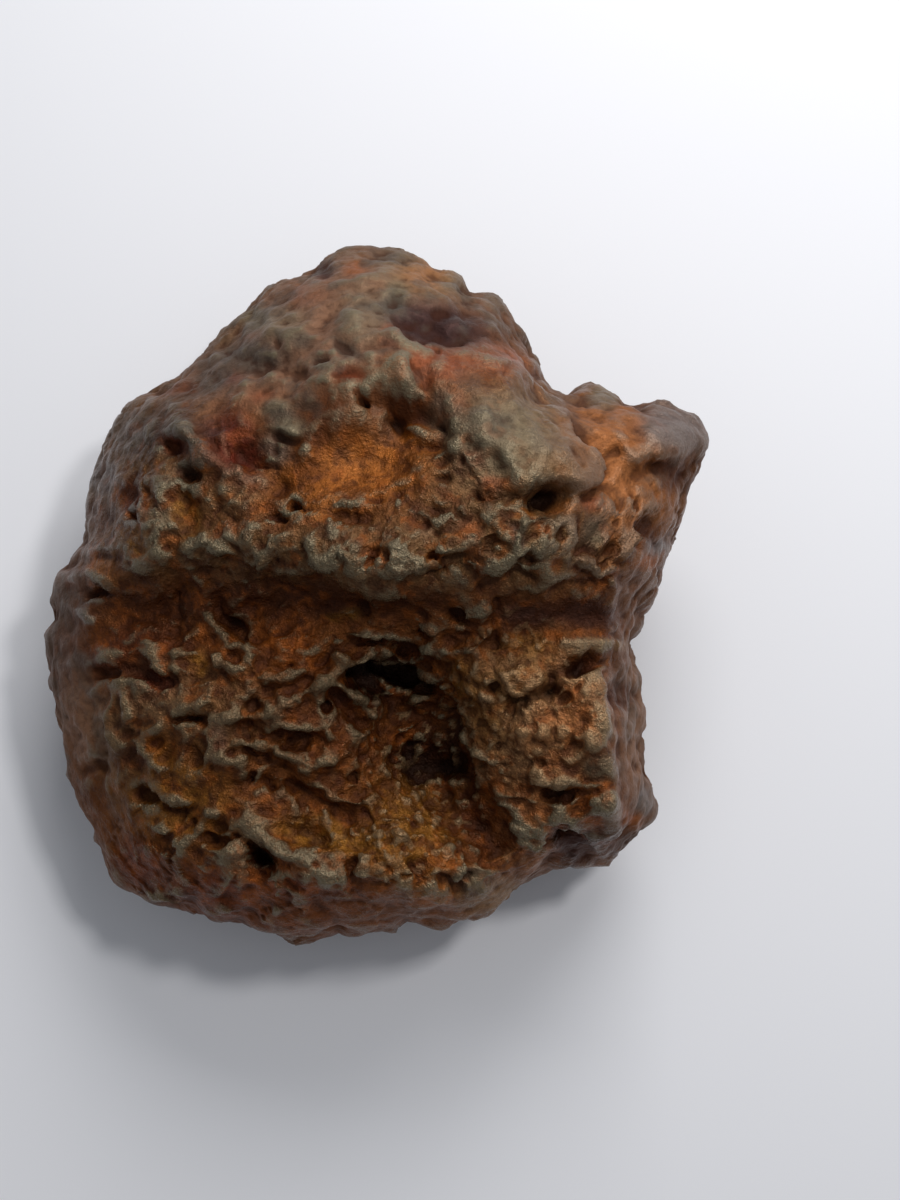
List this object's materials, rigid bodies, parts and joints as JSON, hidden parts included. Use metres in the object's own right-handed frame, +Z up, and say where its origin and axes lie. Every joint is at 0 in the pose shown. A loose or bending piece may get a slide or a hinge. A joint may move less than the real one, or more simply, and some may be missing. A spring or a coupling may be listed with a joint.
{
  "type": "iron meteorite",
  "caption": "Rust-brown iron meteorite: a palm-sized natural lump with a wrinkled, pitted upper side, a crest, a deep pit and a small flat spot that it rests on.",
  "frame": {"origin": "middle of the flat spot that the stone rests on, under its centre of mass", "axes": "+Z up, +Y away from the front, which is the wrinkled lower side of the picture, +X to the right, towards the lobe behind the notch"},
  "size_m": [0.0838, 0.0917, 0.0429],
  "materials": {
    "rusted_iron": "rusted brown with orange and red-brown hollows, worn to a dull grey-olive sheen on its ridges"
  },
  "bodies": {
    "root": {"meteorite": "rusted_iron"}
  },
  "joints": []
}
